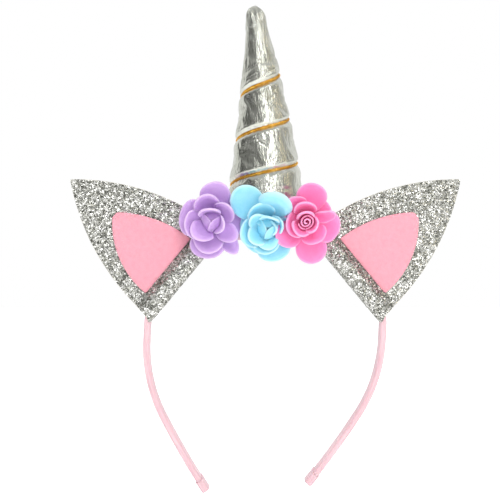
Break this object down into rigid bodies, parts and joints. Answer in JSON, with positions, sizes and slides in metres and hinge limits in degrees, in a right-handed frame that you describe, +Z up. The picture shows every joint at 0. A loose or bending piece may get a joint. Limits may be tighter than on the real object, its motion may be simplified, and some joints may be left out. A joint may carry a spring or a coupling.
{
  "type": "unicorn headband",
  "caption": "Costume headband with a stuffed spiral horn, a row of foam roses and glitter ears folded round a satin-wrapped springy band.",
  "frame": {"origin": "centre of the head opening at the band's widest point, midway between the front and back edges of the band", "axes": "+X to the right seen from the front, +Y from the front to the back of the band, +Z up towards the horn's tip"},
  "size_m": [0.201, 0.0429, 0.2519],
  "materials": {
    "band_plastic": "matt moulded plastic",
    "satin_ribbon": "woven satin with a soft sheen along its length",
    "glitter_sheet": "coarse silver glitter flakes on a cloth-backed sheet",
    "cream_backing": "matt cream cloth backing",
    "pink_felt": "pressed felt, matt and slightly fuzzy",
    "glue": "set hot glue, cloudy and smooth",
    "silver_lame": "silver lame cloth, metallic, softly creased",
    "stuffing": "white polyester fibre",
    "gold_cord": "twisted metallic gold thread",
    "silver_thread": "grey sewing thread",
    "pale_felt": "thin pressed felt",
    "foam_purple": "closed-cell craft foam, matt",
    "foam_blue": "closed-cell craft foam, matt",
    "foam_pink": "closed-cell craft foam, matt"
  },
  "bodies": {
    "crown": {"band_core_crown": "band_plastic", "band_ribbon_crown": "satin_ribbon", "ear_glitter_left": "glitter_sheet", "ear_glitter_right": "glitter_sheet", "ear_backing_left": "cream_backing", "ear_backing_right": "cream_backing", "ear_felt_left": "pink_felt", "ear_felt_right": "pink_felt", "ear_glue_left": "glue", "ear_glue_right": "glue", "horn_cover": "silver_lame", "horn_stuffing": "stuffing", "horn_base_felt": "silver_lame", "horn_cord": "gold_cord", "horn_tip_stitch": "silver_thread", "horn_seat_felt": "pale_felt", "horn_glue": "glue", "crown_patch_felt": "pale_felt", "rose_plate_felt": "pale_felt", "rose_purple_outer": "foam_purple", "rose_purple_middle": "foam_purple", "rose_purple_inner": "foam_purple", "rose_purple_bud": "foam_purple", "rose_purple_plug": "foam_purple", "rose_blue_outer": "foam_blue", "rose_blue_middle": "foam_blue", "rose_blue_inner": "foam_blue", "rose_blue_bud": "foam_blue", "rose_blue_plug": "foam_blue", "rose_pink_outer": "foam_pink", "rose_pink_middle": "foam_pink", "rose_pink_inner": "foam_pink", "rose_pink_bud": "foam_pink", "rose_pink_plug": "foam_pink"},
    "left_arm": {"band_core_left": "band_plastic", "band_ribbon_left": "satin_ribbon", "tip_tuck_left": "satin_ribbon"},
    "right_arm": {"band_core_right": "band_plastic", "band_ribbon_right": "satin_ribbon", "tip_tuck_right": "satin_ribbon"}
  },
  "joints": [
    {"name": "left_arm_flex", "type": "hinge", "parent": "crown", "child": "left_arm", "pos_m": [-0.0606, 0, 0.00855], "axis": [0, 1, 0], "range_deg": [-3, 12], "stiffness_Nm_per_rad": 0.6},
    {"name": "right_arm_flex", "type": "hinge", "parent": "crown", "child": "right_arm", "pos_m": [0.0606, 0, 0.00855], "axis": [0, -1, 0], "range_deg": [-3, 12], "stiffness_Nm_per_rad": 0.6}
  ]
}
